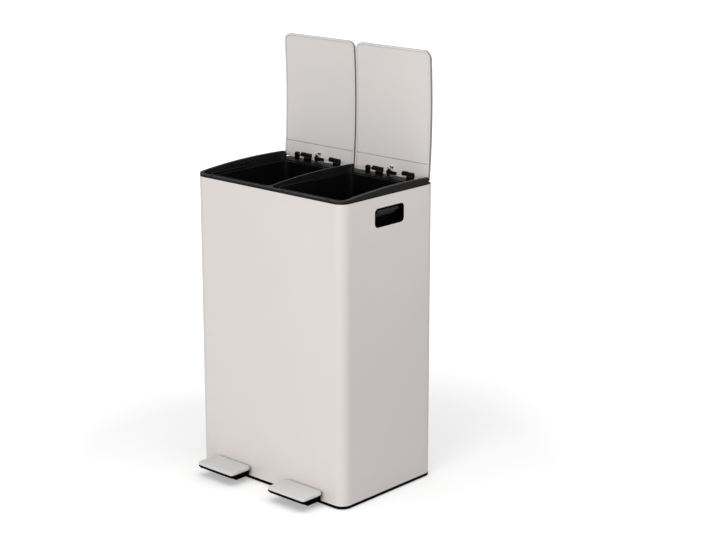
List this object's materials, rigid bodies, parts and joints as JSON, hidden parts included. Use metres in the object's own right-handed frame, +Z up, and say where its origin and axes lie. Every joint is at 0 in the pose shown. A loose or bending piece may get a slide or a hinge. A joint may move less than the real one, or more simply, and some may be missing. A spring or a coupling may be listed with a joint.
{
  "type": "double recycling pedal bin",
  "caption": "Tall rectangular recycling bin with two side-by-side lids, lift-out inner buckets, front pedals, side hand recesses and an arched black rim.",
  "frame": {"origin": "middle of the casing's footprint, on the floor under the rubber grip ring", "axes": "+X to the right as seen from the front, -Y out of the front where the pedals are, +Z up"},
  "size_m": [0.412, 0.3394, 0.8994],
  "materials": {
    "casing_paint": "warm greige powder coat, fine satin",
    "lid_paint": "warm greige powder coat, fine satin",
    "pedal_paint": "greige powder coat, satin",
    "frame_plastic": "black moulded plastic, fine matt grain",
    "base_plastic": "black moulded plastic, matt",
    "hinge_plastic": "black moulded plastic, slight gloss",
    "bucket_plastic": "black moulded plastic, satin",
    "grip_rubber": "black rubber, matt",
    "bright_steel": "bright drawn steel",
    "zinc_steel": "zinc-plated steel",
    "lever_steel": "black-coated steel strip",
    "bail_wire": "black-coated steel wire"
  },
  "bodies": {
    "casing": {"outer_casing": "casing_paint", "top_frame": "frame_plastic", "base_frame": "base_plastic", "base_floor": "base_plastic", "foot_ring": "base_plastic", "grip_ring": "grip_rubber", "base_screws": "zinc_steel", "lid_buffers": "grip_rubber", "handle_cup_left": "frame_plastic", "damper_left": "hinge_plastic", "hinge_pins_left": "bright_steel", "lever_pin_left": "zinc_steel", "handle_cup_right": "frame_plastic", "damper_right": "hinge_plastic", "hinge_pins_right": "bright_steel", "lever_pin_right": "zinc_steel"},
    "lid_left": {"lid_skin_left": "lid_paint", "lid_liner_left": "lid_paint", "hinge_rail_left": "lid_paint", "lid_knuckles_left": "hinge_plastic", "lifter_arm_left": "hinge_plastic", "arm_rivets_left": "bright_steel"},
    "rod_left": {"push_rod_left": "zinc_steel", "rod_tip_left": "hinge_plastic", "rod_foot_left": "hinge_plastic"},
    "pedal_left": {"pedal_cover_left": "pedal_paint", "pedal_body_left": "base_plastic", "pedal_lever_left": "lever_steel"},
    "bucket_left": {"inner_bucket_left": "bucket_plastic"},
    "bail_left": {"bucket_bail_left": "bail_wire"},
    "lid_right": {"lid_skin_right": "lid_paint", "lid_liner_right": "lid_paint", "hinge_rail_right": "lid_paint", "lid_knuckles_right": "hinge_plastic", "lifter_arm_right": "hinge_plastic", "arm_rivets_right": "bright_steel"},
    "rod_right": {"push_rod_right": "zinc_steel", "rod_tip_right": "hinge_plastic", "rod_foot_right": "hinge_plastic"},
    "pedal_right": {"pedal_cover_right": "pedal_paint", "pedal_body_right": "base_plastic", "pedal_lever_right": "lever_steel"},
    "bucket_right": {"inner_bucket_right": "bucket_plastic"},
    "bail_right": {"bucket_bail_right": "bail_wire"}
  },
  "joints": [
    {"name": "lid_left_hinge", "type": "hinge", "parent": "casing", "child": "lid_left", "pos_m": [0, 0.1186, 0.643], "axis": [-1, 0, 0], "range_deg": [-92, 0]},
    {"name": "rod_left_slide", "type": "slide", "parent": "casing", "child": "rod_left", "axis": [0, 0, 1], "range_m": [-0.01866, 0]},
    {"name": "pedal_left_hinge", "type": "hinge", "parent": "casing", "child": "pedal_left", "pos_m": [0, -0.0482, 0.025], "axis": [1, 0, 0], "range_deg": [-6.8, 0]},
    {"name": "bucket_left_lift", "type": "slide", "parent": "casing", "child": "bucket_left", "axis": [0, 0, 1], "range_m": [0, 0.6]},
    {"name": "bail_left_hinge", "type": "hinge", "parent": "bucket_left", "child": "bail_left", "pos_m": [0, -0.0133, 0.6322], "axis": [-1, 0, 0], "range_deg": [0, 180]},
    {"name": "lid_right_hinge", "type": "hinge", "parent": "casing", "child": "lid_right", "pos_m": [0, 0.1186, 0.643], "axis": [-1, 0, 0], "range_deg": [-92, 0]},
    {"name": "rod_right_slide", "type": "slide", "parent": "casing", "child": "rod_right", "axis": [0, 0, 1], "range_m": [-0.01866, 0]},
    {"name": "pedal_right_hinge", "type": "hinge", "parent": "casing", "child": "pedal_right", "pos_m": [0, -0.0482, 0.025], "axis": [1, 0, 0], "range_deg": [-6.8, 0]},
    {"name": "bucket_right_lift", "type": "slide", "parent": "casing", "child": "bucket_right", "axis": [0, 0, 1], "range_m": [0, 0.6]},
    {"name": "bail_right_hinge", "type": "hinge", "parent": "bucket_right", "child": "bail_right", "pos_m": [0, -0.0133, 0.6322], "axis": [-1, 0, 0], "range_deg": [0, 180]}
  ],
  "couplings": [
    {"joint": "rod_left_slide", "follows": "lid_left_hinge", "m_per_rad": 0.011609},
    {"joint": "pedal_left_hinge", "follows": "lid_left_hinge", "ratio": 0.073736},
    {"joint": "rod_right_slide", "follows": "lid_right_hinge", "m_per_rad": 0.011609},
    {"joint": "pedal_right_hinge", "follows": "lid_right_hinge", "ratio": 0.073736}
  ]
}
